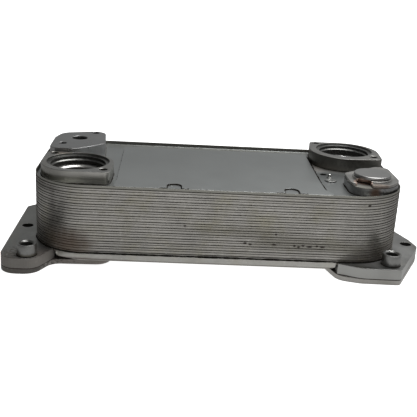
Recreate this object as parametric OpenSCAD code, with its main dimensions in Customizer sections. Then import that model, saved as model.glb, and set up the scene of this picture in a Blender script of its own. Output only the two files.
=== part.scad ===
// Hydraulic oil cooler: a brazed stack of nested dish plates between a cover and a base.
// Coolant enters and leaves through the two large flanges on the cover. Oil enters and
// leaves through the two ports in the underside. Millimetres, +Z up. The origin is the
// middle of the whole footprint, in the plane of the underside. Plan positions in this file
// are counted from the middle of the plate stack, and placed() moves them to that origin.

/* [Plate stack] */
// Length of the stack over the rims
stack_l = 350; // [330:1:370]
// Width of the stack over the rims
stack_w = 171.6; // [165:0.1:178]
// Corner radius of the rims in plan
stack_r = 50.7; // [46:0.1:55]
// Number of dish plates under the cover, always odd
plate_count = 25; // [21:2:25]
// Rim spacing over a coolant channel
coolant_pitch = 2.96; // [2.8:0.01:3.2]
// Rim spacing over an oil channel
oil_pitch = 2.07; // [2:0.01:2.3]
// Sheet thickness of a dish plate
sheet_t = 0.5; // [0.4:0.05:0.55]
// Height of a plate rim
rim_h = 4.7; // [4.4:0.1:5]
// Outward flare of a plate rim, from vertical
rim_flare = 16; // [15:1:18]
// Radius of the four flow columns through the plates
column_r = 19.5; // [16:0.5:19.5]
// Width of the raised ring that seals a column off from a channel
ring_w = 4; // [3:0.5:5]

/* [Turbulator] */
// Thickness of the folded fin sheet in an oil channel
fin_t = 0.25; // [0.2:0.05:0.4]
// Pitch of its folds
fin_pitch = 8; // [6:1:12]
// Length of the fin sheet
fin_l = 192; // [150:1:200]
// Width of the fin sheet
fin_w = 152; // [120:1:156]

/* [Cover] */
// Floor thickness of the cover dish
cover_t = 1.2; // [1:0.1:1.6]
// Thickness of the cover's upturned rim
cover_rim_t = 0.9; // [0.8:0.1:1.2]
// Thickness of the stiffening plate on the cover
pad_t = 2.8; // [2:0.1:3]
// Depth of the two shallow notches in the stiffening plate
notch_d = 1.2; // [0.6:0.1:1.8]
// Radius of the round part of a notch
notch_r = 7; // [5:0.5:8]

/* [Base and feet] */
// Height of the base plate's top face
base_z = 15.5; // [14:0.5:17]
// Thickness of the two port plates on the underside
port_plate_t = 5; // [4:0.5:6]
// Height of the base plate's outer lip above the underside
base_lip_z = 9; // [8:0.5:10]
// Overhang of the base plate past the stack
base_over = 0.8; // [0.6:0.1:1]
// Depth of the pocket that the lowest dish plate sits in
pocket_d = 2.7; // [2.7:0.1:3]
// Radius of a bolt hole in a foot
foot_hole_r = 5.5; // [4.5:0.5:6]
// Radius of a spacer tube
spacer_r = 8.8; // [8:0.1:10]
// Height of a spacer tube
spacer_h = 11; // [8:0.5:14]
// Radius of an oil port in the underside
oil_port_r = 18; // [14:0.5:19]
// Width of the seal groove around an oil port
groove_w = 3.4; // [3:0.1:4]
// Depth of that seal groove
groove_d = 2; // [1.5:0.1:2.5]

/* [Coolant flanges] */
// Radius of a flange's bore
port_r = 26; // [24:0.5:27]
// Radius of the shallow seat around the bore
seat_r = 29.6; // [29:0.1:30]
// Depth of that seat
seat_d = 2.2; // [1.5:0.1:3]
// Bolt circle diameter of a flange
port_pcd = 74; // [73:0.5:77]
// Radius of a tapped hole
tap_r = 3.4; // [2.5:0.1:4]
// Radius of the chamfer on a tapped hole
tap_chamfer_r = 4.3; // [4:0.1:4.8]
// Depth of a tapped hole
tap_depth = 9; // [6:0.5:10]
// Height of the front left flange's face
front_flange_z = 89.2; // [88:0.1:91]
// Height of the back right flange's face
back_flange_z = 91; // [90:0.1:93]

/* [Corner blocks] */
// Height of the back left block's face
sensor_block_z = 92.3; // [90:0.1:94]
// Radius of the port in the back left block
sensor_port_r = 7.5; // [5:0.5:8]
// Bolt circle diameter of the back left block
sensor_pcd = 58; // [56:0.5:60]
// Height of the front right block's face
blank_block_z = 85.5; // [84:0.1:87]
// Thickness of the closing plate
closing_t = 2.5; // [2:0.1:3]
// Height of the blanking cap over the closing plate
cap_h = 5.2; // [4:0.1:6]
// Radius of the blanking cap's disc
cap_r = 17.6; // [17:0.1:18]

/* [Hidden] */
$fn = 64;
eps = 0.01;
rim_count = plate_count + 1;
first_lip_z = base_z + oil_pitch;
function lip_z(k) = first_lip_z + coolant_pitch * ceil(k / 2) + oil_pitch * floor(k / 2);
function two(i) = i < 10 ? str("0", i) : str(i);
function plate_name(k) = str("dish_plate_", two(k + 1));
function fin_name(k) = str("oil_turbulator_", two((k + 1) / 2));
cover_lip_z = lip_z(plate_count);
cover_z = cover_lip_z - rim_h + cover_t;
pad_z = cover_z + pad_t;
// Middle of the footprint, counted from the middle of the plate stack
footprint_mid = [1.71, -7.95];
// Coolant flange: wall length of the bore, then a ledge down to a slightly narrower bore
flange_bore_l = 3;
ledge_h = 1;
ledge_w = 1.4;
// Drawn collar under a flange: neck radius, and height over the cover
neck_r = 23;
collar_h = 2;
blank_bore_r = 14;
// Raised boss of the closing plate, and the hollow under the cap
boss_r = 18.9;
boss_h = 1.8;
boss_round = 0.9;
cap_hollow_r = 11;
// Centres of the four columns: two for coolant, two for oil
front_left = [-135.5, -34];
back_right = [137.5, 50.5];
back_left = [-144, 46.5];
front_right = [144.5, -47];
coolant_ports = [front_left, back_right];
oil_ports = [back_left, front_right];
// Centres of the foot holes
left_plain_hole = [-187.7, -17];
right_plain_hole = [192.6, -29.2];
left_spacer = [-174.5, -92.4];
right_spacer = [162.5, -84.5];
// Near edge of the stiffening plate, and its two notches: middle, left end, right end
pad_edge_y = -82.6;
notches = [[-43.4, -57, -30], [64.7, 49.8, 78.6]];
notch_bay_y = -73;
slot_w = 2.6;
// Notch in the closing plate: centre and radius of its round end, and its two near edges
closing_notch = [133, -61.3];
closing_notch_r = 6.6;
closing_near_y = -65.7;
// Where the base plate ends above the feet: left end near and far of the split, right end
base_left_near = -150.8;
base_left_far = -167.5;
base_split_y = -16;
base_right = 110.2;
// Radius that the base plate's ends turn up with
base_end_r = 4;
// Inset of the base plate's core from the stack outline
core_inset = 9;
// Land between an oil port and its seal groove
groove_land = 3;
// Small clip on the cover: a flat tongue, a neck, and a post at the neck's end
clip_at = [109.9, -26];
clip_l = 10.6;
clip_w = 10;
clip_r = 4.4;
clip_t = 1.1;
clip_neck_w = 3.8;
clip_post = [110.8, -14.5];
clip_post_r = 1.8;
clip_post_h = 3.4;
// Shallow slot in the cover beside the clip
clip_slot = [103.8, -4.6];
clip_slot_l = 6;
clip_slot_w = 2.4;
clip_slot_d = 0.7;

// ---- Shared shapes ----

// Rounded polygon from corners [x, y, radius], anticlockwise; every stretch is a line or an arc
function unit(v) = v / norm(v);
function corner_arc(a, b, c) =
    let (
        p = [b[0], b[1]],
        u = unit([a[0], a[1]] - p),
        v = unit([c[0], c[1]] - p),
        half = acos(u * v) / 2,
        reach = b[2] / tan(half),
        mid = p + unit(u + v) * b[2] / sin(half),
        s = p + u * reach - mid,
        e = p + v * reach - mid,
        a0 = atan2(s[1], s[0]),
        turn = atan2(s[0] * e[1] - s[1] * e[0], s * e)
    )
    b[2] <= 0
        ? [p]
        : [for (i = [0 : 8]) mid + b[2] * [cos(a0 + turn * i / 8), sin(a0 + turn * i / 8)]];

module rounded(corners) {
    n = len(corners);
    polygon([
        for (i = [0 : n - 1])
            for (p = corner_arc(corners[(i + n - 1) % n], corners[i], corners[(i + 1) % n])) p
    ]);
}

module rounded_rect(l, w, r) {
    rounded([[l / 2, -w / 2, r], [l / 2, w / 2, r], [-l / 2, w / 2, r], [-l / 2, -w / 2, r]]);
}

// Stack outline as an exact solid, grown or shrunk by d at the bottom and at the top
module stack_solid(z, h, d_low, d_high) {
    cx = stack_l / 2 - stack_r;
    cy = stack_w / 2 - stack_r;
    low = stack_r + d_low;
    high = stack_r + d_high;
    section = [[-cy - low, 0], [cy + low, 0], [cy + high, h], [-cy - high, h]];
    translate([-cx, 0, z])
        rotate([90, 0, 90])
            linear_extrude(2 * cx)
                polygon(section);
    for (s = [0, 180])
        rotate([0, 0, s])
            translate([0, cy, z])
                rotate([90, 0, 0])
                    linear_extrude(2 * cy)
                        polygon([[cx - eps, 0], [cx + low, 0], [cx + high, h], [cx - eps, h]]);
    for (q = [[1, 1, 0], [-1, 1, 90], [-1, -1, 180], [1, -1, 270]])
        translate([q[0] * cx, q[1] * cy, z])
            rotate([0, 0, q[2]])
                rotate_extrude(angle = 90)
                    polygon([[0, 0], [low, 0], [high, h], [0, h]]);
}

// A dish: floor of thickness floor_t and flared rim of thickness rim_t, lip at height z
module dish(z, floor_t, rim_t) {
    lean = tan(rim_flare);
    wall = rim_t / cos(rim_flare);
    difference() {
        stack_solid(z - rim_h, rim_h, -rim_h * lean, 0);
        stack_solid(z - rim_h + floor_t, rim_h, -(rim_h - floor_t) * lean - wall, floor_t * lean - wall);
    }
}

module placed() {
    translate([-footprint_mid[0], -footprint_mid[1], 0])
        children();
}

module hole(at, r, z0, z1) {
    translate([at[0], at[1], z0])
        cylinder(r = r, h = z1 - z0);
}

// Two tapped holes on a bolt circle, chamfered, drilled down from height z
module tapped_pair(at, pcd, angle, z) {
    for (s = [0, 180])
        translate([at[0], at[1], z])
            rotate([0, 0, angle + s])
                translate([pcd / 2, 0, 0]) {
                    translate([0, 0, -tap_depth])
                        cylinder(r = tap_r, h = tap_depth + 1);
                    translate([0, 0, -(tap_chamfer_r - tap_r)])
                        cylinder(r1 = tap_r, r2 = tap_chamfer_r, h = tap_chamfer_r - tap_r);
                    cylinder(r = tap_chamfer_r, h = 1);
                }
}

// ---- Core ----

// Dish k and the raised rings that close the channel above it off from two of the columns
module dish_plate(k) {
    z = lip_z(k);
    floor_z = z - rim_h;
    coolant_above = k % 2 == 0;
    pitch = coolant_above ? coolant_pitch : oil_pitch;
    sealed = coolant_above ? oil_ports : coolant_ports;
    open = k == 0 ? oil_ports : concat(oil_ports, coolant_ports);
    color("silver") placed()
        difference() {
            union() {
                dish(z, sheet_t, sheet_t);
                for (p = sealed)
                    hole(p, column_r + ring_w, floor_z, floor_z + pitch);
            }
            for (p = open)
                hole(p, column_r, floor_z - 1, floor_z + pitch + 1);
        }
}

// Folded fin sheet that fills the middle of oil channel k
module oil_turbulator(k) {
    z = lip_z(k) - rim_h + sheet_t;
    h = oil_pitch - sheet_t;
    folds = floor(fin_l / fin_pitch);
    run = fin_pitch / 2 - 1;
    top = [for (i = [0 : folds - 1])
        for (p = [[0, h], [run, h], [run + 1, fin_t], [2 * run + 1, fin_t]]) [i * fin_pitch + p[0], p[1]]];
    low = [for (i = [folds - 1 : -1 : 0])
        for (p = [[2 * run + 1 + fin_t, 0], [run + 1 - fin_t, 0], [run - fin_t, h - fin_t], [fin_t, h - fin_t]])
            [i * fin_pitch + p[0], p[1]]];
    color("goldenrod") placed()
        translate([-fin_l / 2, fin_w / 2, z])
            rotate([90, 0, 0])
                linear_extrude(fin_w)
                    polygon(concat(top, low));
}

// ---- Cover and what is brazed on it ----

module cover_plate() {
    color("darkgray") placed()
        difference() {
            dish(cover_lip_z, cover_t, cover_rim_t);
            for (p = coolant_ports)
                hole(p, neck_r, cover_z - 5, cover_z + 1);
            hole(back_left, sensor_port_r, cover_z - 5, cover_z + 1);
            hole(front_right, blank_bore_r, cover_z - 5, cover_z + 1);
            translate([clip_slot[0], clip_slot[1], cover_z - clip_slot_d])
                cube([clip_slot_l, clip_slot_w, 2]);
        }
}

// Shallow notch: a narrow slot along the edge with a round bay in its middle
module notch(mid, left, right) {
    low = pad_edge_y - 1;
    high = pad_edge_y + slot_w;
    translate([0, 0, pad_z - notch_d])
        linear_extrude(notch_d + 1) {
            rounded([[left, low, 0], [right, low, 0], [right, high, 1.2], [left, high, 1.2]]);
            translate([mid - notch_r, pad_edge_y])
                square([2 * notch_r, notch_bay_y - pad_edge_y]);
            translate([mid, notch_bay_y])
                circle(r = notch_r);
        }
}

module stiffening_plate() {
    outline = [
        [-98.5, pad_edge_y, 3], [99, pad_edge_y, 3], [104, -80.5, 2], [97.2, -66, 12], [96.8, -30, 60], [98.8, 64.5, 3],
        [-97.8, 65.5, 3], [-96.8, -60, 30]
    ];
    color("gray") placed()
        difference() {
            translate([0, 0, cover_z])
                linear_extrude(pad_t)
                    rounded(outline);
            for (n = notches)
                notch(n[0], n[1], n[2]);
        }
}

// Coolant flange: seat, stepped bore and two tapped holes in a lobed body
module coolant_flange(at, face_z) {
    bore_z = face_z - seat_d - flange_bore_l;
    difference() {
        translate([0, 0, cover_z])
            linear_extrude(face_z - cover_z)
                children();
        hole(at, seat_r, face_z - seat_d, face_z + 1);
        hole(at, port_r, bore_z, face_z);
        translate([at[0], at[1], bore_z - ledge_h])
            cylinder(r1 = port_r - ledge_w, r2 = port_r, h = ledge_h);
        hole(at, port_r - ledge_w, cover_z - 1, bore_z);
        hole(at, port_r - ledge_w / 2, cover_z - 1, cover_z + collar_h);
        tapped_pair(at, port_pcd, -45, face_z);
    }
}

module front_left_flange() {
    at = front_left;
    color("dimgray") placed()
        coolant_flange(at, front_flange_z)
            hull() {
                translate([at[0] - 0.2, at[1] - 3.2])
                    circle(r = 34.1, $fn = 96);
                translate([at[0] + 28, at[1] - 31.8])
                    circle(r = 5, $fn = 32);
                translate([at[0] - 25.2, at[1] + 24.6])
                    circle(r = 9, $fn = 32);
            }
}

module back_right_flange() {
    at = back_right;
    color("dimgray") placed()
        coolant_flange(at, back_flange_z)
            hull() {
                translate([at[0] - 0.5, at[1] - 4.6])
                    circle(r = 36.2, $fn = 96);
                translate([at[0] + 27.5, at[1] - 32])
                    circle(r = 6, $fn = 32);
                translate([at[0] - 28, at[1] + 25.5])
                    circle(r = 5, $fn = 32);
            }
}

// Drawn collar inside a flange: a neck through the cover and a rounded shoulder over it
module port_collar(at) {
    outer = port_r - ledge_w / 2;
    low = -cover_t / 2;
    profile = concat(
        [[column_r, -cover_t], [neck_r, -cover_t], [neck_r, 0], [outer, 0], [outer, collar_h]],
        [for (a = [15 : 15 : 90]) [column_r + (outer - column_r) * (1 - sin(a)), low + (collar_h - low) * cos(a)]]
    );
    color("silver") placed()
        translate([at[0], at[1], cover_z])
            rotate_extrude()
                polygon(profile);
}

module back_left_outline() {
    rounded([
        [-168.8, 0.8, 8], [-141.7, -1.2, 14], [-115.2, 25.5, 12], [-119.8, 82.2, 12], [-164.5, 66.8, 16],
        [-169.4, 44, 25]
    ]);
}

module front_right_outline() {
    rounded([
        [121, -73.3, 14], [156, -73.3, 24], [170.3, -53.5, 20], [170.3, -5, 9], [158, -4.5, 8], [121, -32, 9]
    ]);
}

module back_left_block() {
    color("dimgray") placed()
        difference() {
            translate([0, 0, cover_z])
                linear_extrude(sensor_block_z - cover_z)
                    back_left_outline();
            hole(back_left, sensor_port_r, cover_z - 1, sensor_block_z + 1);
            translate([back_left[0], back_left[1], sensor_block_z - 1])
                cylinder(r1 = sensor_port_r, r2 = sensor_port_r + 1, h = 1);
            tapped_pair(back_left, sensor_pcd, 61, sensor_block_z);
        }
}

module front_right_block() {
    color("dimgray") placed()
        difference() {
            translate([0, 0, cover_z])
                linear_extrude(blank_block_z - cover_z)
                    front_right_outline();
            hole(front_right, blank_bore_r, cover_z - 1, blank_block_z + 1);
        }
}

// Thin plate with a raised boss under the cap; its notch shows the block's top face
module closing_plate() {
    top = blank_block_z + closing_t;
    notch = closing_notch;
    far_left = front_right[0] - 26;
    shoulder = [for (a = [0 : 15 : 90]) [boss_r - boss_round * (1 - cos(a)), boss_h - boss_round * (1 - sin(a))]];
    color("gray") placed()
        difference() {
            union() {
                translate([0, 0, blank_block_z])
                    linear_extrude(closing_t)
                        front_right_outline();
                translate([front_right[0] + 0.5, front_right[1], top - eps])
                    rotate_extrude()
                        polygon(concat([[0, 0], [boss_r, 0]], shoulder, [[0, boss_h]]));
            }
            translate([0, 0, blank_block_z - 1])
                linear_extrude(closing_t + boss_h + 2) {
                    translate(notch)
                        circle(r = closing_notch_r);
                    translate([notch[0] - closing_notch_r, closing_near_y - 1])
                        square([2 * closing_notch_r, notch[1] - closing_near_y + 1]);
                    translate([far_left, -stack_w / 2])
                        square([notch[0] + closing_notch_r - far_left, closing_near_y + stack_w / 2]);
                }
            hole([front_right[0] + 0.5, front_right[1]], cap_hollow_r, blank_block_z - 1, top + boss_h + 1);
        }
}

// Cap pressed on the boss: a short stem under a flat disc with a rounded edge, hollow underneath
module blanking_cap() {
    z = blank_block_z + closing_t + boss_h;
    h = cap_h - boss_h;
    stem_r = cap_r - 1.4;
    stem_h = 1.1;
    low_round = 0.4;
    high_round = 1.1;
    wall = 1;
    under = [for (a = [-90 : 30 : 0]) [cap_r - low_round * (1 - cos(a)), stem_h + low_round * (1 + sin(a))]];
    over = [for (a = [0 : 15 : 90]) [cap_r - high_round * (1 - cos(a)), h - high_round * (1 - sin(a))]];
    color("silver") placed()
        translate([front_right[0] + 0.4, front_right[1], z])
            difference() {
                rotate_extrude()
                    polygon(concat([[0, 0], [stem_r, 0], [stem_r, stem_h]], under, over, [[0, h]]));
                translate([0, 0, -1])
                    cylinder(r = cap_hollow_r, h = h + 1 - wall);
            }
}

// Small clip beside the back right flange
module cable_clip() {
    color("gray") placed() {
        translate([0, 0, cover_z])
            linear_extrude(clip_t) {
                translate(clip_at)
                    rounded_rect(clip_l, clip_w, clip_r);
                translate([clip_post[0] - clip_neck_w / 2, clip_at[1]])
                    square([clip_neck_w, clip_post[1] - clip_at[1]]);
                translate(clip_post)
                    circle(r = clip_neck_w / 2);
            }
        translate([clip_post[0], clip_post[1], cover_z + clip_t / 2])
            rotate_extrude()
                polygon(concat(
                    [[0, 0], [clip_post_r, 0]],
                    [for (a = [0 : 15 : 90]) [clip_post_r * cos(a), clip_post_h - clip_post_r * (1 - sin(a))]]
                ));
    }
}

// ---- Base and feet ----

module dish_pocket() {
    lean = tan(rim_flare);
    gap = 0.1;
    d_top = gap - oil_pitch * lean;
    stack_solid(base_z - pocket_d, pocket_d + 1, d_top - pocket_d * lean, d_top + lean);
}

// Everything past x = 0 that a base plate end at x = 0 leaves out, with the end turned up
module base_end() {
    side = stack_w / 2 + 10;
    past = 90;
    turn = [for (a = [0 : 15 : 90]) [-base_end_r + base_end_r * sin(a), base_lip_z + base_end_r * (1 - cos(a))]];
    translate([0, side, 0])
        rotate([90, 0, 0])
            linear_extrude(2 * side)
                polygon(concat([[-base_end_r, 0]], turn, [[0, base_z + 1], [past, base_z + 1], [past, 0]]));
}

// Shallow pan: an outer lip over a deeper floor that rests on the port plates
module base_plate() {
    color("darkgray") placed()
        difference() {
            union() {
                stack_solid(base_lip_z, 2, base_over - 2, base_over);
                stack_solid(base_lip_z + 2, base_z - base_lip_z - 2, base_over, base_over);
                stack_solid(port_plate_t, base_lip_z - port_plate_t + eps, -core_inset, -core_inset);
            }
            dish_pocket();
            translate([base_right, 0, 0])
                base_end();
            intersection() {
                translate([base_left_near, 0, 0])
                    mirror([1, 0, 0])
                        base_end();
                translate([-stack_l, base_split_y - stack_w, 0])
                    cube([stack_l, stack_w, base_z + 1]);
            }
            translate([base_left_far, 0, 0])
                mirror([1, 0, 0])
                    base_end();
            hole(back_left, oil_port_r, 0, base_z + 1);
        }
}

// Corners of the two end feet; the port plates below them reach further inward
left_foot_corners = [
    [-198.8, -102.5, 15], [-166, -102.5, 14], [-152.8, -75, 0], [-152.8, -20, 3], [-172, -20, 3], [-172, 56, 0],
    [-181, 60, 3], [-198.8, 42, 5]
];
left_port_corners = [
    [-198.8, -102.5, 15], [-167, -102.5, 16], [-154.5, -76, 14], [-101, -74.5, 14], [-101, 78, 12], [-150, 78, 20],
    [-198.8, 42, 5]
];
right_foot_corners = [
    [112, -88, 0], [133, -97.6, 30], [169.5, -98.3, 5], [202.5, -36, 7], [199.5, -17, 12],
    [172, 66, 10], [152, 78, 10], [112, 78, 0]
];
right_port_corners = [
    [103.5, -60, 20], [112, -91, 14], [133, -97.3, 30], [169.5, -98.3, 5], [202.5, -36, 7], [199.5, -17, 12],
    [172, 66, 10], [152, 78, 10], [103.5, 78, 10]
];

module foot(corners, holes, oil_holes) {
    color("darkgray") placed()
        difference() {
            translate([0, 0, port_plate_t])
                linear_extrude(base_z - port_plate_t)
                    rounded(corners);
            dish_pocket();
            for (p = holes)
                hole(p, foot_hole_r, 0, base_z + 1);
            for (p = oil_holes)
                hole(p, oil_port_r, 0, base_z + 1);
        }
}

module left_foot() {
    foot(left_foot_corners, [left_plain_hole, left_spacer], []);
}

module right_foot() {
    foot(right_foot_corners, [right_plain_hole, right_spacer], [front_right]);
}

module port_plate(corners, port, holes) {
    color("gray") placed()
        difference() {
            linear_extrude(port_plate_t)
                rounded(corners);
            hole(port, oil_port_r, -1, port_plate_t + 1);
            translate([port[0], port[1], -1])
                difference() {
                    cylinder(r = oil_port_r + groove_land + groove_w, h = groove_d + 1);
                    translate([0, 0, -1])
                        cylinder(r = oil_port_r + groove_land, h = groove_d + 3);
                }
            for (p = holes)
                hole(p, foot_hole_r, -1, port_plate_t + 1);
        }
}

module left_port_plate() {
    port_plate(left_port_corners, back_left, [left_plain_hole, left_spacer]);
}

module right_port_plate() {
    port_plate(right_port_corners, front_right, [right_plain_hole, right_spacer]);
}

module spacer_tube(at) {
    color("silver") placed()
        translate([at[0], at[1], base_z])
            difference() {
                cylinder(r = spacer_r, h = spacer_h);
                translate([0, 0, -1])
                    cylinder(r = foot_hole_r, h = spacer_h + 2);
                translate([0, 0, spacer_h - 1.4])
                    cylinder(r1 = foot_hole_r, r2 = foot_hole_r + 1.4, h = 1.4);
            }
}

module left_spacer_tube() {
    spacer_tube(left_spacer);
}

module right_spacer_tube() {
    spacer_tube(right_spacer);
}

// ---- Assembly ----

base_plate();
left_foot();
right_foot();
left_port_plate();
right_port_plate();
left_spacer_tube();
right_spacer_tube();
for (k = [0 : plate_count - 1])
    dish_plate(k);
for (k = [1 : 2 : plate_count - 2])
    oil_turbulator(k);
cover_plate();
stiffening_plate();
front_left_flange();
back_right_flange();
port_collar(front_left);  // front_left_collar
port_collar(back_right);  // back_right_collar
back_left_block();
front_right_block();
closing_plate();
blanking_cap();
cable_clip();
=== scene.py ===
"""Looks of the hydraulic oil cooler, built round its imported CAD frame. Metres, +Z up."""

import math

import bpy
import bmesh
import numpy as np
from mathutils import Matrix, Vector, noise


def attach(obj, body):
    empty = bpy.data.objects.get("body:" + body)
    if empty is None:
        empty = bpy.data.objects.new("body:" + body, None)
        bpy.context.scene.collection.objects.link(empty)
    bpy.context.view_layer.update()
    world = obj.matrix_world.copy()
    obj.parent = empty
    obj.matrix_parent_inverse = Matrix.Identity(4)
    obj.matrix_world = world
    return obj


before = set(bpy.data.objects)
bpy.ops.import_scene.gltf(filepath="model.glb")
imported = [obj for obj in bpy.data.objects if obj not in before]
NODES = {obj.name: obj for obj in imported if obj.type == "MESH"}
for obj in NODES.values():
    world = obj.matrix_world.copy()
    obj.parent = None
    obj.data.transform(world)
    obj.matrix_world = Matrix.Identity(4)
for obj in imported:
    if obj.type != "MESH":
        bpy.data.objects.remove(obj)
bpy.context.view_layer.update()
MM = 0.001

scene = bpy.context.scene
scene.view_settings.view_transform = "Standard"


# ---- Places on the part ----


def box(node):
    """Lowest and highest corner of a CAD node, to 0.01 mm."""
    corners = [NODES[node].matrix_world @ Vector(c) for c in NODES[node].bound_box]
    return [[round(pick(c[i] for c in corners), 5) for i in range(3)] for pick in (min, max)]


def middle(node):
    """Centre of a CAD node, seen from above."""
    low, high = box(node)
    return tuple(round((low[i] + high[i]) / 2, 5) for i in range(2))


def top(node):
    """Height of a CAD node's highest face."""
    return box(node)[1][2]


def bolt_pair(centre, circle, degrees):
    """Centres of two opposite holes on a bolt circle, given by its diameter."""
    a = math.radians(degrees)
    arm = Vector((math.cos(a), math.sin(a))) * circle / 2
    return [tuple(Vector(centre) + arm), tuple(Vector(centre) - arm)]


FLANGES = {
    "front_left_flange": middle("front_left_collar"),
    "back_right_flange": middle("back_right_collar"),
}
FLANGE_CIRCLE, FLANGE_TURN = 74 * MM, -45
SENSOR_BORE = (-0.14571, 0.05445)
SENSOR_CIRCLE, SENSOR_TURN = 58 * MM, 61
BLANK_PORT = (0.14279, -0.03905)
CLOSING_NOTCH = (0.1313, -0.0534)
CLIP_SLOT = (0.1051, 0.0046)
LEFT_PLAIN_HOLE = (-0.18941, -0.00905)
RIGHT_PLAIN_HOLE = (0.19089, -0.02125)
LEFT_END, RIGHT_END, END_REACH = (-0.18, -0.02), (0.16, -0.05), 0.12

TAPPED = {name: bolt_pair(centre, FLANGE_CIRCLE, FLANGE_TURN) for name, centre in FLANGES.items()}
TAPPED["back_left_block"] = bolt_pair(SENSOR_BORE, SENSOR_CIRCLE, SENSOR_TURN)
TAP_RADIUS = 3.4 * MM
THREAD_PITCH = 1.25 * MM
THREAD_START = 1.1 * MM
THREAD_TURNS = 6
NOTCH_DEPTH = 1.2 * MM
# How far inside the rims' outline the beads round the stack run.
RIM_BRAZE_BACK = 0.62 * MM
STACK_SHADE_BACK = 0.6 * MM
# Height well under the cover, where the drums of what stands on it start.
UNDER_COVER = 70 * MM


# ---- Camera, world and lamps ----

CAM_AT = Vector((-0.04884, -0.72272, 0.28005))
CAM_YAW, CAM_PITCH, CAM_ROLL = 0.0547776, 0.3230964, 0.057944
CAM_LENS = 64.92
WORLD_SEEN = 1.1
WORLD_COLOUR = (0.985, 1, 0.995, 1)
WORLD_BRIGHT_SIDE = (0.45, 0.86, 0.24)
WORLD_DIM, WORLD_BRIGHT = 0.05, 0.29


def make_camera():
    """The camera from its heading, its tilt down and its roll."""
    forward = Vector((
        math.sin(CAM_YAW) * math.cos(CAM_PITCH),
        math.cos(CAM_YAW) * math.cos(CAM_PITCH),
        -math.sin(CAM_PITCH),
    ))
    level = Vector((math.cos(CAM_YAW), -math.sin(CAM_YAW), 0))
    over = level.cross(forward)
    right = math.cos(CAM_ROLL) * level + math.sin(CAM_ROLL) * over
    up = -math.sin(CAM_ROLL) * level + math.cos(CAM_ROLL) * over
    data = bpy.data.cameras.new("camera")
    data.lens = CAM_LENS
    data.sensor_width = 36
    data.clip_start, data.clip_end = 0.01, 50
    camera = bpy.data.objects.new("camera", data)
    turn = Matrix((right, up, -forward)).transposed().to_4x4()
    camera.matrix_world = Matrix.Translation(CAM_AT) @ turn
    scene.collection.objects.link(camera)
    scene.camera = camera


def make_world():
    """White to the camera. As a light on the object: dim, and brighter low down behind it on the right."""
    world = bpy.data.worlds.new("studio")
    scene.world = world
    world.use_nodes = True
    tree = world.node_tree
    tree.nodes.clear()
    out = tree.nodes.new("ShaderNodeOutputWorld")
    seen = tree.nodes.new("ShaderNodeBackground")
    lit = tree.nodes.new("ShaderNodeBackground")
    mix = tree.nodes.new("ShaderNodeMixShader")
    path = tree.nodes.new("ShaderNodeLightPath")
    where = tree.nodes.new("ShaderNodeTexCoord")
    toward = tree.nodes.new("ShaderNodeVectorMath")
    toward.operation = "DOT_PRODUCT"
    toward.inputs[1].default_value = WORLD_BRIGHT_SIDE
    level = tree.nodes.new("ShaderNodeMapRange")
    level.interpolation_type = "SMOOTHSTEP"
    level.inputs["From Min"].default_value = -0.2
    level.inputs["From Max"].default_value = 1.0
    level.inputs["To Min"].default_value = WORLD_DIM
    level.inputs["To Max"].default_value = WORLD_BRIGHT
    seen.inputs["Color"].default_value = (1, 1, 1, 1)
    seen.inputs["Strength"].default_value = WORLD_SEEN
    lit.inputs["Color"].default_value = WORLD_COLOUR
    tree.links.new(where.outputs["Generated"], toward.inputs[0])
    tree.links.new(toward.outputs["Value"], level.inputs["Value"])
    tree.links.new(level.outputs["Result"], lit.inputs["Strength"])
    tree.links.new(path.outputs["Is Camera Ray"], mix.inputs["Fac"])
    tree.links.new(lit.outputs[0], mix.inputs[1])
    tree.links.new(seen.outputs[0], mix.inputs[2])
    tree.links.new(mix.outputs[0], out.inputs["Surface"])


def soft_box(name, at, target, size, power):
    """A rectangular lamp aimed at a target."""
    data = bpy.data.lights.new(name, "AREA")
    data.shape = "RECTANGLE"
    data.size, data.size_y = size
    data.energy = power
    light = bpy.data.objects.new(name, data)
    light.location = at
    light.rotation_euler = (Vector(target) - Vector(at)).to_track_quat("-Z", "Y").to_euler()
    scene.collection.objects.link(light)


make_camera()
make_world()
soft_box("overhead", (0.45, 0.25, 1.35), (0.05, -0.1, 0.05), (1.0, 1.0), 16)
soft_box("floor_front", (0.08, -0.62, 1.2), (0.05, -0.55, 0), (0.7, 0.5), 3)


# ---- Shader nodes ----


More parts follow.
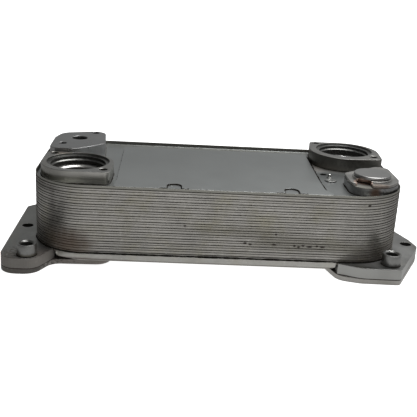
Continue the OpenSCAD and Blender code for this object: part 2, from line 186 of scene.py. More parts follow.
class Nodes:
    """Short names for making shader nodes in one material."""

    def __init__(self, name):
        self.material = bpy.data.materials.new(name)
        self.material.use_nodes = True
        self.tree = self.material.node_tree
        self.tree.nodes.clear()
        self.out = self.new("ShaderNodeOutputMaterial")
        self.where = self.new("ShaderNodeTexCoord").outputs["Object"]

    def new(self, kind):
        return self.tree.nodes.new(kind)

    def put(self, socket, value):
        """Links a value that is a socket, and sets any other."""
        if isinstance(value, bpy.types.NodeSocket):
            self.tree.links.new(value, socket)
        else:
            socket.default_value = value

    def math(self, kind, a, b=0.0, c=0.0, clamp=False):
        n = self.new("ShaderNodeMath")
        n.operation = kind
        n.use_clamp = clamp
        for i, v in enumerate((a, b, c)):
            self.put(n.inputs[i], v)
        return n.outputs[0]

    def length(self, vector):
        n = self.new("ShaderNodeVectorMath")
        n.operation = "LENGTH"
        self.put(n.inputs[0], vector)
        return n.outputs["Value"]

    def scaled(self, vector, factor):
        n = self.new("ShaderNodeVectorMath")
        n.operation = "SCALE"
        self.put(n.inputs[0], vector)
        self.put(n.inputs["Scale"], factor)
        return n.outputs[0]

    def axis(self, which):
        """The place on the object along X, Y or Z."""
        n = self.new("ShaderNodeSeparateXYZ")
        self.put(n.inputs[0], self.where)
        return n.outputs[which]

    def mix(self, fac, a, b):
        n = self.new("ShaderNodeMix")
        n.data_type = "RGBA"
        self.put(n.inputs[0], fac)
        self.put(n.inputs[6], a)
        self.put(n.inputs[7], b)
        return n.outputs[2]

    def mapped(self, scale=(1, 1, 1), offset=(0, 0, 0)):
        n = self.new("ShaderNodeMapping")
        self.put(n.inputs["Vector"], self.where)
        n.inputs["Location"].default_value = offset
        n.inputs["Scale"].default_value = scale
        return n.outputs[0]

    def noise(self, scale, detail=3.0, rough=0.55, stretch=(1, 1, 1), offset=(0, 0, 0)):
        n = self.new("ShaderNodeTexNoise")
        self.put(n.inputs["Vector"], self.mapped(stretch, offset))
        n.inputs["Scale"].default_value = scale
        n.inputs["Detail"].default_value = detail
        n.inputs["Roughness"].default_value = rough
        return n.outputs["Fac"]

    def ramp(self, value, low, high, to_low=0.0, to_high=1.0):
        n = self.new("ShaderNodeMapRange")
        n.interpolation_type = "SMOOTHSTEP"
        self.put(n.inputs["Value"], value)
        n.inputs["From Min"].default_value = low
        n.inputs["From Max"].default_value = high
        n.inputs["To Min"].default_value = to_low
        n.inputs["To Max"].default_value = to_high
        return n.outputs["Result"]

    def spot(self, centre, size, edge=0.5, breakup=0.6, grain=120):
        """1 inside an ellipsoid and 0 outside, with a ragged edge."""
        scale = [1 / s for s in size]
        offset = [-c / s for c, s in zip(centre, size)]
        ragged = self.math("MULTIPLY_ADD", self.noise(grain, 4.0, 0.65), breakup, -breakup / 2)
        away = self.math("ADD", self.length(self.mapped(scale, offset)), ragged)
        return self.ramp(away, 1 - edge, 1 + edge, 1.0, 0.0)

    def drum(self, centre, radius, low, high):
        """1 inside an upright cylinder and 0 outside."""
        out = self.length(self.mapped((1, 1, 0), (-centre[0], -centre[1], 0)))
        inside = self.ramp(out, radius - 0.1 * MM, radius + 0.1 * MM, 1.0, 0.0)
        away = self.math("ABSOLUTE", self.math("SUBTRACT", self.axis("Z"), (low + high) / 2))
        half = (high - low) / 2
        return self.math("MULTIPLY", inside, self.ramp(away, half - 0.15 * MM, half + 0.15 * MM, 1.0, 0.0))


# ---- Steel, what lies on it, and painted light and shade ----

RUBBED = (0.8, 0.79, 0.76)
SPECK = (0.75, 0.74, 0.7)
RUST = (0.10, 0.055, 0.028)
DARK_RUST = (0.035, 0.022, 0.016)
OLIVE = (0.13, 0.115, 0.06)
# Painted shade, black, for holes, bores, slots and gaps.
SHADE_BLACK = (0.018, 0.017, 0.016)
SEAM = (0.045, 0.032, 0.026)
NEAR_Y, FAR_Y = -0.075, 0.03


def brightness(n, fine, cloud, tone, near_sheen):
    """Clouds and grain about 1, and on the near side a painted sheen of near_sheen more than that."""
    light = n.ramp(n.noise(cloud, 3.0, 0.6), 0.3, 0.7, 1 - tone, 1 + tone)
    light = n.math("MULTIPLY", light, n.ramp(fine, 0.25, 0.75, 1 - tone * 0.6, 1 + tone * 0.6))
    if near_sheen:
        light = n.math("MULTIPLY", light, n.ramp(n.axis("Y"), NEAR_Y, FAR_Y, 1 + near_sheen, 1.0))
    return light


def painted_hollow_shade(n, colour, hollow_shade, reach):
    """A colour with painted shade: darkened in corners and grooves no wider than reach."""
    hollow = n.new("ShaderNodeAmbientOcclusion")
    hollow.samples = 6
    hollow.inputs["Distance"].default_value = reach
    return n.scaled(colour, n.ramp(hollow.outputs["AO"], 0.2, 0.85, 1 - hollow_shade, 1.0))


def nicks_and_glints(n, colour, base, dashes):
    """A colour with short level nicks: dark ones, and bright ones that are painted glints."""
    dark = n.ramp(n.noise(1, 3.0, 0.6, stretch=(240, 240, 700)), 0.36, 0.44, 1.0, 0.0)
    colour = n.mix(n.math("MULTIPLY", dark, dashes), colour, (*[c * 0.25 for c in base], 1.0))
    # Painted glints: small bright dots.
    glint = n.noise(1, 2.0, 0.5, stretch=(420, 420, 1100), offset=(4, 8, 3))
    return n.mix(n.ramp(glint, 0.6, 0.68, 0.0, dashes * 2), colour, (*[c * 1.7 for c in base], 1.0))


def rubbed_edges(n, colour, rub):
    """A colour worn bright along the edges."""
    edge = n.new("ShaderNodeBevel")
    edge.samples = 4
    edge.inputs["Radius"].default_value = 0.6 * MM
    turned = n.new("ShaderNodeVectorMath")
    turned.operation = "DOT_PRODUCT"
    n.put(turned.inputs[0], edge.outputs[0])
    n.put(turned.inputs[1], n.new("ShaderNodeNewGeometry").outputs["True Normal"])
    return n.mix(n.ramp(turned.outputs["Value"], 0.75, 0.98, rub, 0.0), colour, (*RUBBED, 1.0))


def steel(name, base, rough=0.4, metal=1.0, gloss=0.5, haze=0.07, grain=500, stretch=(1, 1, 1),
          cloud=14, tone=0.16, near_sheen=0.0, tint=None, bump=0.08, hollow_shade=0.0, reach=4 * MM,
          dashes=0.0, rub=0.0, speck=0.0, stains_and_shade=(), drums=()):
    """Bare steel with a cloudy tone and fine grain, then painted shade in hollows, a painted sheen on the
    near side, nicks with painted glints, wear, specks, stains and drums.

    A stain is its centre, size, colour and strength, then how ragged its edge is and the grain of
    that edge if they aren't the usual ones. It also dulls the steel. Some stains are painted shade.
    A drum colours what lies inside an upright cylinder: centre, radius, low, high, colour and
    strength; many drums are painted light or shade. A black one also takes the shine away.
    """
    n = Nodes(name)
    fine = n.noise(grain, 3.0, 0.6, stretch)
    colour = n.scaled(base, brightness(n, fine, cloud, tone, near_sheen))
    if tint:
        patches = n.noise(cloud * 2.2, 4.0, 0.65, offset=(3, 1, 7))
        colour = n.mix(n.ramp(patches, 0.45, 0.75), colour, (*tint, 1.0))
    # Painted shade in corners and grooves.
    if hollow_shade:
        colour = painted_hollow_shade(n, colour, hollow_shade, reach)
    if dashes:
        colour = nicks_and_glints(n, colour, base, dashes)
    if rub:
        colour = rubbed_edges(n, colour, rub)
    if speck:
        spots = n.noise(grain * 0.9, 2.0, 0.5, offset=(9, 4, 2))
        colour = n.mix(n.ramp(spots, 0.68, 0.74, 0.0, speck), colour, (*SPECK, 1.0))
    dull = n.noise(cloud * 3, 4.0, 0.6, offset=(5, 2, 1))
    roughness = n.ramp(dull, 0.3, 0.7, rough - haze, rough + haze)
    metallic = metal
    for centre, size, mark_colour, strength, *ragged in stains_and_shade:
        mask = n.math("MULTIPLY", n.spot(centre, size, 0.5, *ragged), strength)
        colour = n.mix(mask, colour, (*mark_colour, 1.0))
        roughness = n.math("MULTIPLY_ADD", mask, 0.25, roughness, clamp=True)
        metallic = n.math("MULTIPLY_ADD", mask, -0.7, metallic, clamp=True)
    for centre, radius, low, high, coat, strength in drums:
        mask = n.math("MULTIPLY", n.drum(centre, radius, low, high), strength)
        colour = n.mix(mask, colour, (*coat, 1.0))
        if max(coat) < 0.1:
            metallic = n.math("SUBTRACT", metallic, mask, clamp=True)
            gloss = n.math("MULTIPLY_ADD", mask, -0.5, gloss, clamp=True)
    relief = n.new("ShaderNodeBump")
    relief.inputs["Strength"].default_value = bump
    relief.inputs["Distance"].default_value = 0.4 * MM
    n.put(relief.inputs["Height"], n.math("ADD", fine, n.noise(grain / 5, 3.0, 0.6)))
    shader = n.new("ShaderNodeBsdfPrincipled")
    n.put(shader.inputs["Base Color"], colour)
    n.put(shader.inputs["Roughness"], roughness)
    n.put(shader.inputs["Metallic"], metallic)
    n.put(shader.inputs["Specular IOR Level"], gloss)
    n.put(shader.inputs["Normal"], relief.outputs[0])
    n.tree.links.new(shader.outputs[0], n.out.inputs["Surface"])
    return n.material


def layer(low, high, coat, strength):
    """A drum wide enough for the whole part."""
    return ((0, 0), 0.3, low, high, coat, strength)


def tapped_hole_shade(node):
    """Painted shade in a node's tapped holes: black drums."""
    low, high = top(node) - 10 * MM, top(node) - 0.3 * MM
    return [(hole, TAP_RADIUS + 0.6 * MM, low, high, SHADE_BLACK, 0.97) for hole in TAPPED[node]]


def flange_drums(node, side, bore_shade):
    """A flange's drums: its side wall, painted lighter or darker as the light falls on it, then painted
    shade on the inside of its bore, in its tapped holes, and in two dark rings deeper down.
    """
    centre, face = FLANGES[node], top(node)
    return [
        (centre, 60 * MM, UNDER_COVER, face - 0.4 * MM, *side),
        (centre, 30 * MM, UNDER_COVER, face - 0.25 * MM, bore_shade, 1.0),
        *tapped_hole_shade(node),
        (centre, 26.3 * MM, face - 4.9 * MM, face - 2.3 * MM, SHADE_BLACK, 0.88),
        (centre, 25.4 * MM, 77 * MM, face - 6.3 * MM, SHADE_BLACK, 0.9),
    ]


# ---- Stains on the stack of plates ----

# Three brown runs at the left end, two at the right, two olive patches, and rust high up at the left.
STACK_STAINS = [
    ((-0.157, -0.088, 0.042), (0.006, 0.02, 0.036), (0.024, 0.013, 0.011), 0.9),
    ((-0.146, -0.09, 0.024), (0.026, 0.03, 0.015), (0.13, 0.075, 0.04), 0.7),
    ((-0.170, -0.080, 0.020), (0.012, 0.03, 0.02), (0.05, 0.032, 0.024), 0.5),
    ((0.150, -0.070, 0.022), (0.026, 0.035, 0.011), (0.07, 0.045, 0.032), 0.35),
    ((0.170, -0.06, 0.055), (0.016, 0.04, 0.04), (0.12, 0.11, 0.10), 0.3),
    ((0.075, -0.085, 0.032), (0.05, 0.03, 0.007), OLIVE, 0.3),
    ((0.020, -0.085, 0.042), (0.05, 0.03, 0.005), OLIVE, 0.2),
    ((-0.170, -0.085, 0.074), (0.02, 0.05, 0.005), DARK_RUST, 0.4),
]

PIT_Y, PIT_DEPTH, PIT_HEIGHT = -79 * MM, 10 * MM, 0.9 * MM
# Each pit's x, height and half width, in mm.
PITS = [
    ((x * MM, PIT_Y, z * MM), (wide * MM, PIT_DEPTH, PIT_HEIGHT), DARK_RUST, 0.95)
    for x, z, wide in (
        (22, 31.5, 1.6), (27, 30.5, 1.6), (49, 31, 2.2), (68, 30.5, 1.2), (72, 29.5, 1.3), (76, 31, 1.4),
        (82, 30, 2.4), (89, 31, 1.2), (94, 30.5, 2.2), (50, 41, 1.1), (-34, 46, 1.3), (134, 72, 1.5),
    )
]


# ---- Materials ----

plate = steel(
    "plate_steel", (0.48, 0.465, 0.435), 0.42, stretch=(0.6, 1, 1), tone=0.07, tint=(0.44, 0.42, 0.34),
    bump=0.08, hollow_shade=0.8, reach=2.2 * MM, dashes=0.16, speck=0.6, stains_and_shade=STACK_STAINS + PITS,
)
base = steel(
    "base_steel", (0.55, 0.54, 0.505), 0.42, stretch=(0.6, 1, 1), tone=0.1, tint=(0.54, 0.52, 0.44),
    bump=0.1, hollow_shade=0.4, speck=0.5,
    stains_and_shade=[((-0.13, -0.086, 0.009), (0.055, 0.012, 0.0025), (0.08, 0.04, 0.032), 0.9)],
    # Painted shade: a dark line over the outer lip.
    drums=[layer(8.7 * MM, 9.9 * MM, (0.05, 0.032, 0.026), 0.85)],
)

TOP_LOOK = dict(rough=0.34, haze=0.015, grain=1500, tone=0.03, bump=0.02, hollow_shade=0.55, reach=3 * MM)
# The pad is painted lighter towards its near side, a painted sheen.
pad = steel("pad_steel", (0.43, 0.445, 0.44), near_sheen=0.14, **TOP_LOOK)
cover = steel(
    "cover_steel", (0.43, 0.445, 0.44), **TOP_LOOK,
    # The first stain is painted shadow on the floor between the pad and the back right flange; the second
    # is rust.
    stains_and_shade=[
        ((0.101, 0.048, 0.0774), (0.008, 0.034, 0.002), (0.08, 0.075, 0.065), 0.5),
        ((0.112, 0.024, 0.0774), (0.022, 0.012, 0.002), RUST, 0.35),
    ],
    # The upturned rim, the wall under it, the floor round the back right flange, and painted shade in and
    # round the clip's slot.
    drums=[
        layer(77.6 * MM, 82 * MM, (0.30, 0.295, 0.265), 1.0),
        layer(70 * MM, 77.2 * MM, (0.36, 0.35, 0.32), 1.0),
        ((0.1352, 0.0530), 39 * MM, 77.2 * MM, 77.7 * MM, (0.10, 0.085, 0.06), 0.6),
        (CLIP_SLOT, 3.6 * MM, 76 * MM, 77.9 * MM, SHADE_BLACK, 1.0),
    ],
)

flange = steel(
    "flange_steel", (0.36, 0.355, 0.34), 0.33, tone=0.06, tint=(0.32, 0.31, 0.285), rub=0.4, hollow_shade=0.4,
    stains_and_shade=[
        ((-0.156, -0.001, 0.0892), (0.009, 0.005, 0.003), (0.16, 0.12, 0.08), 0.6),
        ((0.118, 0.024, 0.0795), (0.022, 0.02, 0.0018), OLIVE, 0.7),
    ],
    # Painted light on the front left flange's side wall, painted shade on the back right one's.
    drums=[
        *flange_drums("front_left_flange", ((0.50, 0.49, 0.455), 0.85), (0.20, 0.20, 0.19)),
        *flange_drums("back_right_flange", ((0.22, 0.21, 0.19), 0.8), (0.26, 0.26, 0.25)),
    ],
)
block = steel(
    "block_steel", (0.345, 0.345, 0.345), 0.33, tone=0.08, rub=0.4, hollow_shade=0.5,
    stains_and_shade=[
        ((0.141, -0.070, 0.081), (0.006, 0.008, 0.006), (0.16, 0.08, 0.04), 0.9),
        ((0.130, -0.063, 0.0862), (0.012, 0.011, 0.0018), (0.2, 0.185, 0.14), 0.6),
        ((0.1335, -0.0505, 0.0855), (0.006, 0.004, 0.0015), (0.2, 0.10, 0.06), 0.8),
    ],
    # Painted light on the back left block's side wall, then painted shade in its small port and tapped
    # holes.
    drums=[
        (SENSOR_BORE, 60 * MM, UNDER_COVER, top("back_left_block") - 0.4 * MM, (0.56, 0.56, 0.56), 0.8),
        (SENSOR_BORE, 8.2 * MM, UNDER_COVER, top("back_left_block") - 0.3 * MM, SHADE_BLACK, 0.93),
        *tapped_hole_shade("back_left_block"),
    ],
)
closing = steel(
    "closing_steel", (0.45, 0.44, 0.42), 0.36, tone=0.08, rub=0.3, hollow_shade=0.1,
    stains_and_shade=[((0.145, -0.064, 0.087), (0.010, 0.005, 0.006), (0.15, 0.08, 0.04), 0.6)],
    # The walls of the notch, with a rusty tint, painted lighter than their shade.
    drums=[(CLOSING_NOTCH, 9 * MM, 85.2 * MM, 89.6 * MM, (0.82, 0.62, 0.52), 0.8)],
)

foot = steel(
    "foot_steel", (0.31, 0.31, 0.30), 0.40, tone=0.1, tint=(0.32, 0.31, 0.28), rub=0.3, hollow_shade=0.5,
    # The fourth stain is painted shade, a dark line in the gap at the left foot's end. The last one
    # darkens the right foot's top next to the stack.
    stains_and_shade=[
        ((-0.189, -0.094, 0.010), (0.022, 0.02, 0.008), (0.05, 0.042, 0.035), 0.75, 3.5, 420),
        ((-0.150, -0.090, 0.010), (0.05, 0.03, 0.008), (0.10, 0.085, 0.07), 0.5, 3.5, 300),
        ((-0.162, -0.080, 0.012), (0.014, 0.016, 0.004), (0.2, 0.13, 0.1), 0.35),
        ((-0.1535, -0.060, 0.0105), (0.0014, 0.0085, 0.0075), SHADE_BLACK, 0.9),
        ((0.140, -0.073, 0.0160), (0.03, 0.010, 0.004), DARK_RUST, 0.6),
    ],
    # Painted light on the two side walls and painted shade on the right foot's top, the seam under both
    # feet, and painted shade in the plain holes.
    drums=[
        (LEFT_END, END_REACH, 4 * MM, 15 * MM, (0.34, 0.32, 0.295), 0.8),
        (RIGHT_END, END_REACH, 4 * MM, 15 * MM, (0.46, 0.46, 0.44), 0.85),
        (RIGHT_END, END_REACH, 15.3 * MM, 16 * MM, (0.26, 0.26, 0.255), 0.5),
        layer(4.5 * MM, 5.6 * MM, SEAM, 0.85),
        (LEFT_PLAIN_HOLE, 6.0 * MM, 0, 15.1 * MM, SHADE_BLACK, 0.95),
        (RIGHT_PLAIN_HOLE, 6.0 * MM, 0, 15.1 * MM, SHADE_BLACK, 0.95),
    ],
)
port = steel(
    "port_plate_steel", (0.48, 0.465, 0.44), 0.40, tone=0.1, tint=(0.42, 0.4, 0.36), rub=0.3, hollow_shade=0.3,
    stains_and_shade=[
        ((-0.13, -0.066, 0.004), (0.035, 0.012, 0.004), RUST, 0.4),
        ((-0.18, -0.094, 0.003), (0.04, 0.03, 0.004), (0.06, 0.05, 0.04), 0.7, 3.5, 420),
    ],
    # The seam over both plates.
    drums=[layer(4.6 * MM, 5.4 * MM, SEAM, 0.6)],
)
spacer = steel(
    "spacer_steel", (0.30, 0.30, 0.29), 0.36, tone=0.1, hollow_shade=0.6, rub=0.5,
    stains_and_shade=[((-0.1765, -0.0845, 0.0155), (0.014, 0.014, 0.003), (0.12, 0.1, 0.06), 0.7)],
    # Painted shade inside the tubes.
    drums=[
        (middle(tube), 5.7 * MM, 0, 25 * MM, SHADE_BLACK, 0.9)
        for tube in ("left_spacer_tube", "right_spacer_tube")
    ],
)

bright = steel("bright_steel", (0.62, 0.61, 0.59), 0.27, haze=0.03, tone=0.06, bump=0.03)
shine = steel("shine_steel", (0.93, 0.92, 0.90), 0.24, haze=0.02, tone=0.04, bump=0.02)
cap = steel("cap_steel", (0.47, 0.465, 0.455), 0.29, haze=0.015, tone=0.04, bump=0.01, hollow_shade=0.1)
clip = steel("clip_steel", (0.66, 0.66, 0.64), 0.27, haze=0.03, tone=0.05, bump=0.03)
fin = steel("fin_steel", (0.5, 0.46, 0.38), 0.35)
braze = steel("braze_metal", (0.10, 0.092, 0.078), 0.55, metal=0.6, grain=300, tone=0.3, bump=0.3,
              speck=0.3, stains_and_shade=STACK_STAINS)
# Dark dirt, also the colour of the beads of painted shade in gaps and along walls.
dirt_and_shade = steel("dirt_and_painted_shade", (0.022, 0.019, 0.016), 0.8, metal=0.0, gloss=0.04, grain=400, tone=0.4, bump=0.3)


# ---- The CAD nodes: material and rounded edges ----

# Degrees between two faces from which their edge is rounded. The left foot has shallower corners.
EDGE_ANGLE, LEFT_FOOT_ANGLE = 32, 20


def paint(node, material):
    mesh = NODES[node].data
    mesh.materials.clear()
    mesh.materials.append(material)


def finish_edges(node, width):
    """Rounded, smooth-shaded edges on a CAD node, by modifiers alone."""
    o = NODES[node]
    weld = o.modifiers.new("weld", "WELD")
    weld.merge_threshold = 0.03 * MM
    flat = o.modifiers.new("flat", "DECIMATE")
    flat.decimate_type = "DISSOLVE"
    flat.angle_limit = math.radians(0.4)
    bevel = o.modifiers.new("bevel", "BEVEL")
    bevel.width = width
    bevel.segments = 3
    bevel.limit_method = "ANGLE"
    bevel.angle_limit = math.radians(LEFT_FOOT_ANGLE if node == "left_foot" else EDGE_ANGLE)
    bevel.harden_normals = True
    bevel.use_clamp_overlap = False


DISHES = sorted(name for name in NODES if name.startswith("dish_plate"))
for name in DISHES:
    paint(name, plate)
for name in NODES:
    if name.startswith("oil_turbulator"):
        paint(name, fin)
for name, material, edge in (
    ("base_plate", base, 0.4), ("left_foot", foot, 0.15), ("right_foot", foot, 0.3),
    ("left_port_plate", port, 0.45), ("right_port_plate", port, 0.45),
    ("left_spacer_tube", spacer, 0.4), ("right_spacer_tube", spacer, 0.4),
    ("cover_plate", cover, 0.2), ("stiffening_plate", pad, 0.15),
    ("front_left_flange", flange, 0.3), ("back_right_flange", flange, 0.3),
    ("front_left_collar", bright, 0), ("back_right_collar", shine, 0),
    ("back_left_block", block, 0.45), ("front_right_block", block, 0.4),
    ("closing_plate", closing, 0.25), ("blanking_cap", cap, 0.1), ("cable_clip", clip, 0.2),
):
    paint(name, material)
    if edge:
        finish_edges(name, edge * MM)


# ---- Outlines of the CAD nodes ----


def walk(edges):
    """Closed loops of points from a set of edges."""
    near = {}
    for a, b in edges:
        near.setdefault(a, []).append(b)
        near.setdefault(b, []).append(a)
    loops = []
    left = set(near)
    while left:
        start = min(left)
        loop = [start]
        left.discard(start)
        while True:
            step = [p for p in near[loop[-1]] if p in left]
            if not step:
                break
            loop.append(step[0])
            left.discard(step[0])
        loops.append(loop)
    return loops


def outlines(node, level):
    """The outlines of a node's flat faces at a height: level is min, max or a height in metres."""
    o = NODES[node]
    shape = bmesh.new()
    shape.from_mesh(o.data)
    shape.transform(o.matrix_world)
    bmesh.ops.remove_doubles(shape, verts=shape.verts, dist=1e-6)
    z = level(v.co.z for v in shape.verts) if callable(level) else level
    edges = []
    for e in shape.edges:
        flat = [abs(f.normal.z) > 0.99 for f in e.link_faces]
        at_level = all(abs(v.co.z - z) < 0.02 * MM for v in e.verts)
        if at_level and flat.count(True) == 1 and len(flat) == 2:
            edges.append([tuple(round(c, 7) for c in v.co) for v in e.verts])
    shape.free()
    return [[Vector(p) for p in loop] for loop in walk(edges)]


def girth(loop):
    """Length of a closed loop."""
    return sum((a - b).length for a, b in zip(loop, loop[1:] + loop[:1]))


def outline_at(node, level):
    """The longest of a node's outlines at a height."""
    return max(outlines(node, level), key=girth)


def turning(loop):
    """1 for a loop that runs anticlockwise seen from above, and -1 for one that runs clockwise."""
    return 1 if sum(a.x * b.y - b.x * a.y for a, b in zip(loop, loop[1:] + loop[:1])) > 0 else -1


def resampled(loop, step):
    """Points step apart along a closed loop."""
    ends = loop + loop[:1]
    along = [0.0]
    for a, b in zip(ends, ends[1:]):
        along.append(along[-1] + (b - a).length)
    count = round(along[-1] / step)
    spots = np.linspace(0, along[-1], count, endpoint=False)
    return [Vector(p) for p in zip(*(np.interp(spots, along, [p[i] for p in ends]) for i in range(3)))]


def way_at(path, i):
    """Unit direction of a closed path at a point."""
    return (path[(i + 1) % len(path)] - path[i - 1]).normalized()


def shrunk(loop, by):
    """A convex loop moved inward."""
    side = turning(loop)
    moved = []
    for i, p in enumerate(loop):
        t = way_at(loop, i)
        moved.append(p - Vector((t.y, -t.x, 0)) * side * by)
    return moved


def run_of(path, wanted):
    """The run of wanted points on a closed path, from wanted's true or false for each point."""
    start = next(i for i in range(len(path)) if wanted[i] and not wanted[i - 1])
    return [path[(start + i) % len(path)] for i in range(sum(wanted))]


# ---- Beads of braze metal and dirt, and beads of painted shade ----


def bead(name, path, section, material, seed, low=0.6, high=1.3, grain=140, outward=1, closed=True):
    """A bead along a level path, of a section in metres out and up that varies in size.

    Out is away from the inside of a closed path, and to the right of an open one. An outward of -1
    turns the section round.
    """
    n = len(path)
    side = outward * turning(path) if closed else outward
    shape = bmesh.new()
    rings = []
    for i, p in enumerate(path):
        after = path[(i + 1) % n] if closed or i < n - 1 else p
        before = path[i - 1] if closed or i else p
        t = (after - before).normalized()
        out = Vector((t.y, -t.x, 0)) * side
        wave = noise.fractal(p * grain + Vector((seed * 7.3, 0, seed)), 0.8, 2.0, 3)
        size = low + (high - low) * min(max(0.5 + wave, 0), 1)
        rings.append([shape.verts.new(p + out * u * size + Vector((0, 0, v * size))) for u, v in section])
    for i, ring in enumerate(rings if closed else rings[:-1]):
        nxt = rings[(i + 1) % n]
        for j in range(len(ring)):
            k = (j + 1) % len(ring)
            shape.faces.new((ring[j], ring[k], nxt[k], nxt[j]))
    if not closed:
        shape.faces.new(rings[0])
        shape.faces.new(rings[-1])
    bmesh.ops.recalc_face_normals(shape, faces=shape.faces)
    mesh = bpy.data.meshes.new(name)
    shape.to_mesh(mesh)
    shape.free()
    for face in mesh.polygons:
        face.use_smooth = True
    mesh.materials.append(material)
    piece = bpy.data.objects.new(name, mesh)
    scene.collection.objects.link(piece)
    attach(piece, "root")


def fillet(wide, tall, sink=0.25):
    """Section of a concave fillet in the corner between a floor and a wall."""
    curve = [(wide * (1 - math.sin(a)), tall * (1 - math.cos(a))) for a in np.linspace(0, math.pi / 2, 5)]
    return [(-sink * wide, -sink * tall), (wide, -sink * tall)] + curve + [(-sink * wide, tall)]


def round_bead(size):
    """Section of a slightly flattened bead, with six corners."""
    return [(size * math.cos(a), size * 0.8 * math.sin(a)) for a in np.linspace(0, 2 * math.pi, 7)[:-1]]


def braze_rims(material):
    """One bead in the step above each rim of the stack."""
    rim = resampled(outline_at(DISHES[0], max), 2.2 * MM)
    lips = [outline_at(name, max)[0].z for name in DISHES]
    for k, z in enumerate(lips):
        path = [Vector((p.x, p.y, z + 0.02 * MM)) for p in shrunk(rim, RIM_BRAZE_BACK)]
        bead(f"rim_braze_{k + 1:02d}", path, round_bead(0.28 * MM), material, k, 0.35, 1.35)


def corner_bead(node, wide, tall, material, seed):
    """A fillet in the corner round the bottom of a node."""
    path = resampled(outline_at(node, min), 1.2 * MM)
    bead(f"{node}_braze", path, fillet(wide * MM, tall * MM), material, seed, 0.6, 1.2, 200)


def stack_foot_shade_bead(material):
    """Painted shade: a dark bead in the gap between the feet and the lowest rim."""
    rim = resampled(outline_at(DISHES[0], max), 2 * MM)
    path = [Vector((p.x, p.y, top("left_foot"))) for p in shrunk(rim, STACK_SHADE_BACK)]
    gap = [(-1.0 * MM, 0), (1.3 * MM, 0), (1.1 * MM, 0.9 * MM), (-1.0 * MM, 1.6 * MM)]
    bead("stack_foot_shade", path, gap, material, 85, 0.75, 1.1)


def notch_shade_lines(material):
    """Painted shade: dark lines along the far walls of the stiffening plate's two shallow notches."""
    loops = outlines("stiffening_plate", top("stiffening_plate") - NOTCH_DEPTH)
    near = min(p.y for loop in loops for p in loop)
    corners = [(-0.2, -0.2), (1.1, -0.2), (1.1, 0.05), (0, 1.15), (-0.2, 1.15)]
    slope = [(u * MM, v * MM) for u, v in corners]
    for k, loop in enumerate(sorted(loops, key=lambda loop: loop[0].x)):
        path = resampled(loop, 0.7 * MM)
        run = run_of(path, [p.y > near + 0.25 * MM for p in path])
        bead(f"notch_line_{k + 1}", run, slope, material, 60 + k, 0.9, 1.0, 200,
             outward=-turning(path), closed=False)


def edge_shade_strip(node, material):
    """Painted shade: a wide, flat dark strip on the floor along a node's right side."""
    path = resampled(outline_at(node, min), 1.2 * MM)
    side = turning(path)
    run = run_of(path, [way_at(path, i).y * side > 0.06 and p.x > 80 * MM for i, p in enumerate(path)])
    strip = [(0, -0.2 * MM), (3.2 * MM, -0.2 * MM), (3.2 * MM, 0.1 * MM), (0, 0.6 * MM)]
    bead(f"{node}_strip", run, strip, material, 80, 0.85, 1.05, 120, outward=side, closed=False)


def thread(name, centre, face, material):
    """Thread crests inside a tapped hole, from the height of the face it opens in."""
    turns = [Vector((centre[0] + TAP_RADIUS * math.cos(a), centre[1] + TAP_RADIUS * math.sin(a), 0))
             for a in np.linspace(0, 2 * math.pi, 33)[:-1]]
    crest = [(0.1 * MM, 0), (-0.35 * MM, -THREAD_PITCH / 2), (0.1 * MM, -THREAD_PITCH)]
    for k in range(THREAD_TURNS):
        path = [p + Vector((0, 0, face - THREAD_START - k * THREAD_PITCH)) for p in turns]
        bead(f"{name}_thread_{k + 1}", path, crest, material, 90 + k, 1.0, 1.0)


def seam_bead(name, node, material, seed):
    """Dirt packed in the groove along the underside of a node."""
    path = shrunk(resampled(outline_at(node, min), 1.5 * MM), 0.5 * MM)
    bead(name, path, round_bead(0.4 * MM), material, seed, 0.6, 1.25, 160)


def plug(name, centre, radius, low, high, material):
    """A short solid disc."""
    bpy.ops.mesh.primitive_cylinder_add(vertices=64, radius=radius, depth=high - low,
                                        location=(*centre, (low + high) / 2))
    piece = bpy.context.object
    piece.name = name
    piece.data.materials.append(material)
    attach(piece, "root")


braze_rims(braze)
# Fillets round the feet of parts, in braze or dark dirt; the dark ones at the flanges' feet are also
# painted shade.
for seed, (name, wide, tall, metal) in enumerate((
    ("front_left_flange", 0.7, 0.6, dirt_and_shade), ("back_right_flange", 0.7, 0.5, dirt_and_shade),
    ("back_left_block", 0.8, 0.8, braze), ("front_right_block", 0.8, 0.6, dirt_and_shade),
    ("stiffening_plate", 0.8, 0.6, dirt_and_shade), ("closing_plate", 0.3, 0.3, dirt_and_shade),
    ("left_spacer_tube", 0.7, 0.7, dirt_and_shade), ("right_spacer_tube", 0.5, 0.5, dirt_and_shade),
    ("cable_clip", 0.6, 0.5, dirt_and_shade),
)):
    corner_bead(name, wide, tall, metal, 50 + seed)
stack_foot_shade_bead(dirt_and_shade)
plug("blank_port_plug", BLANK_PORT, 13.9 * MM, 82 * MM, top("front_right_block") - 0.15 * MM, block)
notch_shade_lines(dirt_and_shade)
edge_shade_strip("stiffening_plate", dirt_and_shade)
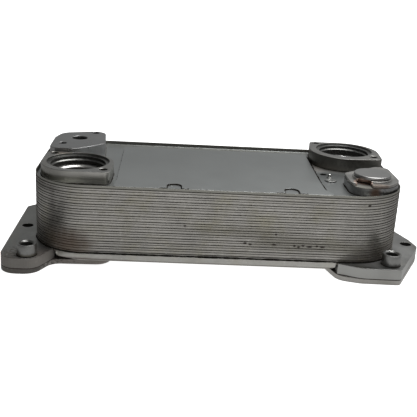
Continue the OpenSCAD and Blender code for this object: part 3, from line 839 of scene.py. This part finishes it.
for name, holes in TAPPED.items():
    for k, hole in enumerate(holes):
        thread(f"{name}_{k + 1}", hole, top(name), dirt_and_shade)
seam_bead("left_seam_dirt", "left_foot", dirt_and_shade, 71)
seam_bead("right_seam_dirt", "right_foot", dirt_and_shade, 72)


# ---- Floor ----

FLOOR_GLOW = 0.95
FLOOR_FRONT, FLOOR_SIDE = 0.60, 0.10
FLOOR_FRONT_AT, FLOOR_FRONT_SIZE = (0.01, -0.40, 0), (0.29, 0.5, 1)


def make_floor():
    """A plain white floor, which throws back less light than it shows, most of it from in front."""
    bpy.ops.mesh.primitive_grid_add(x_subdivisions=4, y_subdivisions=4, size=12)
    floor = bpy.context.object
    floor.name = "floor"
    f = Nodes("floor_white")
    path = f.new("ShaderNodeLightPath")
    shown = f.new("ShaderNodeBsdfPrincipled")
    thrown = f.new("ShaderNodeBsdfPrincipled")
    pick = f.new("ShaderNodeMixShader")
    white = f.mix(f.noise(30, 2.0), (0.93, 0.93, 0.93, 1.0), (0.95, 0.95, 0.95, 1.0))
    f.put(shown.inputs["Base Color"], white)
    f.put(shown.inputs["Emission Color"], (1, 1, 1, 1))
    shown.inputs["Emission Strength"].default_value = FLOOR_GLOW
    shown.inputs["Roughness"].default_value = 0.9
    front = f.spot(FLOOR_FRONT_AT, FLOOR_FRONT_SIZE, 0.9, 0.0)
    thrown.inputs["Base Color"].default_value = (0.15, 0.15, 0.15, 1)
    thrown.inputs["Emission Color"].default_value = (1, 1, 1, 1)
    glow = f.math("MULTIPLY_ADD", front, FLOOR_FRONT - FLOOR_SIDE, FLOOR_SIDE)
    f.put(thrown.inputs["Emission Strength"], glow)
    thrown.inputs["Roughness"].default_value = 0.9
    f.tree.links.new(path.outputs["Is Camera Ray"], pick.inputs["Fac"])
    f.tree.links.new(thrown.outputs[0], pick.inputs[1])
    f.tree.links.new(shown.outputs[0], pick.inputs[2])
    f.tree.links.new(pick.outputs[0], f.out.inputs["Surface"])
    floor.data.materials.append(f.material)


make_floor()
